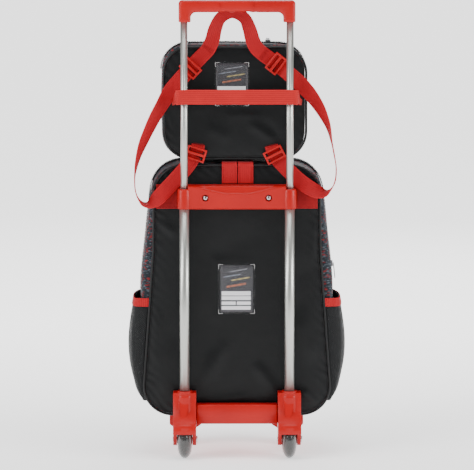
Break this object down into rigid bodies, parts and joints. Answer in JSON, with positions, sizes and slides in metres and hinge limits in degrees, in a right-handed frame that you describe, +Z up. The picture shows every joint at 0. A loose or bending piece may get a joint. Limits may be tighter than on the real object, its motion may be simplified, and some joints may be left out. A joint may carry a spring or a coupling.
{
  "type": "school backpack on a wheeled trolley",
  "caption": "School backpack fixed on a telescopic trolley with inline wheels, with a small matching bag strapped on the handle above it.",
  "frame": {"origin": "on the floor, under the middle of the bounding box", "axes": "+Z up along the tubes; -Y towards the trolley's tubes, +Y towards the backpack's front pocket; +X to the right seen from the trolley side"},
  "size_m": [0.3644, 0.2294, 0.76],
  "materials": {
    "red_plastic": "satin",
    "red_buckle": "gloss",
    "tube_metal": "satin",
    "steel": "polished",
    "dark_plastic": "satin",
    "smoke_tyre": "satin",
    "red_webbing": "matte",
    "red_elastic": "matte",
    "black_fabric": "satin",
    "print_fabric": "matte",
    "mesh_fabric": "matte",
    "clear_film": "gloss",
    "card": "matte",
    "zip_metal": "satin"
  },
  "bodies": {
    "trolley": {"outer_tube_left": "tube_metal", "outer_tube_right": "tube_metal", "tube_bridge": "red_plastic", "bridge_screw_left": "steel", "bridge_screw_right": "steel", "base_beam": "red_plastic", "wheel_housing_left": "red_plastic", "wheel_housing_right": "red_plastic", "base_shelf": "red_plastic", "front_foot_left": "red_plastic", "front_foot_right": "red_plastic", "axle_left": "steel", "axle_right": "steel", "backpack_body": "print_fabric", "backpack_back_panel": "black_fabric", "backpack_piping": "black_fabric", "backpack_band": "red_webbing", "backpack_haul_loop": "red_webbing", "backpack_id_window": "clear_film", "backpack_id_card": "card", "mesh_pocket_left": "mesh_fabric", "mesh_pocket_right": "mesh_fabric", "pocket_elastic_left": "red_elastic", "pocket_elastic_right": "red_elastic", "front_pocket": "print_fabric"},
    "handle": {"grip_body": "red_plastic", "inner_tube_left": "tube_metal", "inner_tube_right": "tube_metal", "tube_guide_left": "dark_plastic", "tube_guide_right": "dark_plastic"},
    "release": {"release_button": "red_plastic", "release_yoke": "steel"},
    "pin_left": {"lock_pin_left": "steel"},
    "pin_right": {"lock_pin_right": "steel"},
    "wheel_left": {"wheel_core_left": "dark_plastic", "tyre_left": "smoke_tyre"},
    "wheel_right": {"wheel_core_right": "dark_plastic", "tyre_right": "smoke_tyre"},
    "small_bag": {"small_bag_body": "print_fabric", "small_bag_panel": "black_fabric", "small_bag_piping": "black_fabric", "trolley_band": "red_webbing", "small_bag_haul_loop": "red_webbing", "upper_adjuster_left": "red_buckle", "upper_adjuster_right": "red_buckle", "lower_adjuster_left": "red_buckle", "lower_adjuster_right": "red_buckle", "lower_tab_left": "red_webbing", "lower_tab_right": "red_webbing", "shoulder_strap_left": "red_webbing", "shoulder_strap_right": "red_webbing", "small_bag_id_window": "clear_film", "small_bag_id_card": "card"},
    "main_slider": {"main_zip_slider": "zip_metal"},
    "main_pull": {"main_zip_pull": "zip_metal"},
    "pocket_slider": {"pocket_zip_slider": "zip_metal"},
    "pocket_pull": {"pocket_zip_pull": "zip_metal"},
    "small_slider": {"small_bag_zip_slider": "zip_metal"},
    "small_pull": {"small_bag_zip_pull": "zip_metal"}
  },
  "joints": [
    {"name": "handle_slide", "type": "slide", "parent": "trolley", "child": "handle", "axis": [0, 0, 1], "range_m": [-0.262, 0]},
    {"name": "release_press", "type": "slide", "parent": "handle", "child": "release", "axis": [0, 0, -1], "range_m": [0, 0.003], "stiffness_N_per_m": 1800, "springref_m": -0.0015},
    {"name": "pin_left_retract", "type": "slide", "parent": "handle", "child": "pin_left", "axis": [1, 0, 0], "range_m": [0, 0.0015]},
    {"name": "pin_right_retract", "type": "slide", "parent": "handle", "child": "pin_right", "axis": [-1, 0, 0], "range_m": [0, 0.0015]},
    {"name": "wheel_left_spin", "type": "hinge", "parent": "trolley", "child": "wheel_left", "pos_m": [-0.0869, -0.0795, 0.032], "axis": [1, 0, 0], "continuous": true},
    {"name": "wheel_right_spin", "type": "hinge", "parent": "trolley", "child": "wheel_right", "pos_m": [0.0869, -0.0795, 0.032], "axis": [1, 0, 0], "continuous": true},
    {"name": "small_bag_lift", "type": "slide", "parent": "trolley", "child": "small_bag", "axis": [0, 0, 1], "range_m": [0, 0.28]},
    {"name": "main_zip_slide", "type": "slide", "parent": "trolley", "child": "main_slider", "axis": [-0.1066, 0, 0.9943], "range_m": [0, 0.115]},
    {"name": "main_pull_swing", "type": "hinge", "parent": "main_slider", "child": "main_pull", "pos_m": [0.16432, 0.0385, 0.31243], "axis": [0, -1, 0], "range_deg": [0, 170]},
    {"name": "pocket_zip_slide", "type": "slide", "parent": "trolley", "child": "pocket_slider", "axis": [-1, 0, 0], "range_m": [0, 0.14]},
    {"name": "pocket_pull_swing", "type": "hinge", "parent": "pocket_slider", "child": "pocket_pull", "pos_m": [0.07, 0.114, 0.285], "axis": [1, 0, 0], "range_deg": [0, 170]},
    {"name": "small_bag_zip_slide", "type": "slide", "parent": "small_bag", "child": "small_slider", "axis": [-1, 0, 0], "range_m": [0, 0.104]},
    {"name": "small_bag_pull_swing", "type": "hinge", "parent": "small_slider", "child": "small_pull", "pos_m": [0.052, -0.0015, 0.6932], "axis": [1, 0, 0], "range_deg": [0, 170]}
  ],
  "couplings": [
    {"joint": "pin_left_retract", "follows": "release_press", "ratio": 0.5},
    {"joint": "pin_right_retract", "follows": "release_press", "ratio": 0.5}
  ]
}
